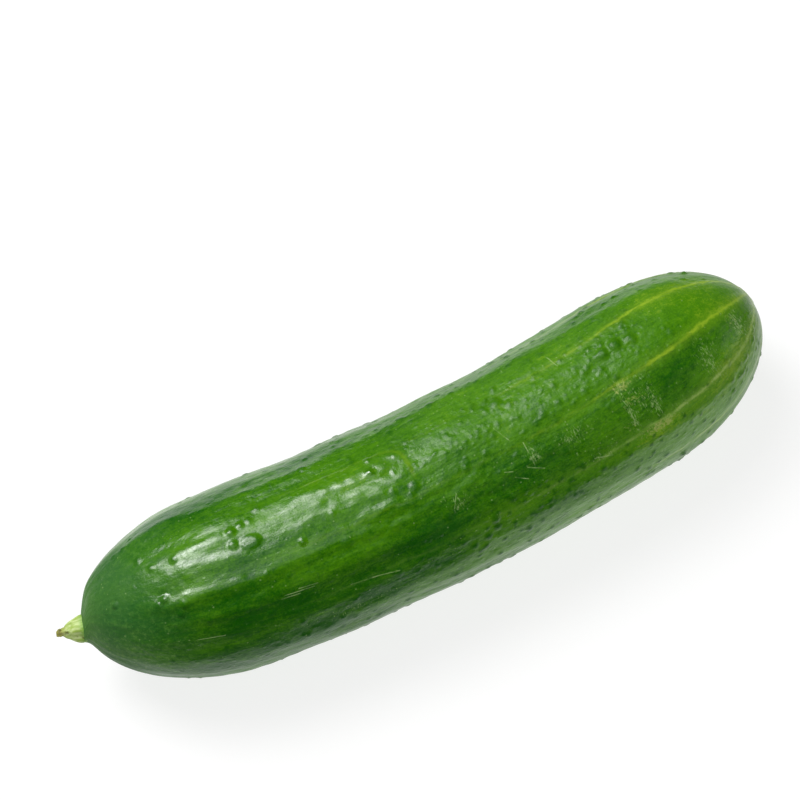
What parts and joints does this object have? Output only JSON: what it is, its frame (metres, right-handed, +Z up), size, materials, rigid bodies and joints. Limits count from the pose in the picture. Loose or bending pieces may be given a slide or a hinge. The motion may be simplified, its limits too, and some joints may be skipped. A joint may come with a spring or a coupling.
{
  "type": "cucumber",
  "caption": "Fresh green cucumber with rounded ends, a slight sideways bow and a short stub of its stem, lying on its side on a small flat.",
  "frame": {"origin": "under the middle of the cucumber's box, on the surface that it lies on", "axes": "+X along the cucumber towards its blossom end, +Y to the side that both ends bow towards, +Z up"},
  "size_m": [0.209, 0.052, 0.0486],
  "materials": {
    "cucumber_skin": "satin",
    "stem_stub": "matte"
  },
  "bodies": {
    "root": {"fruit": "cucumber_skin", "stem_stub": "stem_stub"}
  },
  "joints": []
}
